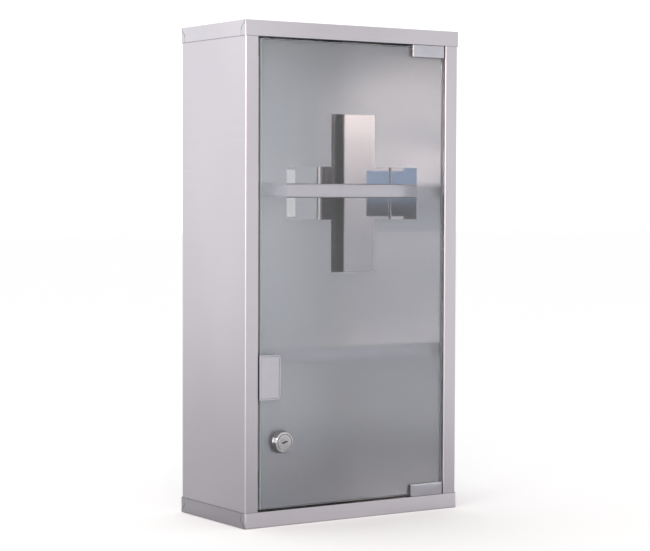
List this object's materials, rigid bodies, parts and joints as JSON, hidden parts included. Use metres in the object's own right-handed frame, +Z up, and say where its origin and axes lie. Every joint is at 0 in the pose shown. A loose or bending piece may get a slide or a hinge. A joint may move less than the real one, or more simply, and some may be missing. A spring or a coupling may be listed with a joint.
{
  "type": "medicine cabinet",
  "caption": "Wall medicine cabinet of folded steel sheet with a hinged frosted glass door, a cross left clear in the frost, a cam lock, a push latch and fixed shelves.",
  "frame": {"origin": "centre of the footprint of the caps, on the underside of the bottom cap", "axes": "+Z up along the cabinet's height, +Y from the door towards the wall, +X towards the hinges, which are on the right seen from the front"},
  "size_m": [0.25, 0.128, 0.48],
  "materials": {
    "brushed_steel": "satin brushed stainless sheet",
    "polished_steel": "mirror polished stainless sheet",
    "satin_metal": "fine satin",
    "chrome": "bright chrome plate",
    "zinc": "zinc plated steel",
    "clear_glass": "clear float glass with ground edges",
    "frosted_glass": "matt frosted layer",
    "rubber": "matt",
    "nylon": "moulded",
    "latch_plastic": "moulded with a light grain",
    "magnet": "sintered"
  },
  "bodies": {
    "cabinet": {"top_cap": "brushed_steel", "bottom_cap": "brushed_steel", "left_side_panel": "brushed_steel", "right_side_panel": "brushed_steel", "back_panel": "polished_steel", "lower_shelf": "polished_steel", "upper_shelf": "polished_steel", "lower_rail_left": "zinc", "lower_rail_right": "zinc", "upper_rail_left": "zinc", "upper_rail_right": "zinc", "latch_bracket": "zinc", "latch_housing": "latch_plastic", "latch_spring": "zinc", "latch_screw_1": "zinc", "latch_screw_2": "zinc", "hinge_bush_top": "nylon", "hinge_bush_bottom": "nylon"},
    "door": {"door_glass": "clear_glass", "frosted_layer": "frosted_glass", "hinge_clip_top": "satin_metal", "hinge_clip_bottom": "satin_metal", "hinge_pad_top": "rubber", "hinge_pad_bottom": "rubber", "hinge_pin_top": "zinc", "hinge_pin_bottom": "zinc", "hinge_screw_top_1": "zinc", "hinge_screw_top_2": "zinc", "hinge_screw_bottom_1": "zinc", "hinge_screw_bottom_2": "zinc", "strike_plate": "satin_metal", "strike_pad": "rubber", "strike_screw_1": "zinc", "strike_screw_2": "zinc", "lock_barrel": "chrome", "lock_gasket": "rubber", "lock_nut": "zinc"},
    "lock_core": {"lock_plug": "chrome", "lock_cam": "zinc", "cam_screw": "zinc"},
    "plunger": {"latch_plunger": "latch_plastic", "latch_magnet": "magnet"}
  },
  "joints": [
    {"name": "door_hinge", "type": "hinge", "parent": "cabinet", "child": "door", "pos_m": [0.0986, -0.0572, 0.24], "axis": [0, 0, 1], "range_deg": [0, 110]},
    {"name": "lock_turn", "type": "hinge", "parent": "door", "child": "lock_core", "pos_m": [-0.0835, -0.055, 0.08045], "axis": [0, -1, 0], "range_deg": [0, 90]},
    {"name": "latch_push", "type": "slide", "parent": "cabinet", "child": "plunger", "axis": [0, 1, 0], "range_m": [0, 0.003], "stiffness_N_per_m": 800, "springref_m": -0.002, "deforming": ["latch_spring"]}
  ]
}
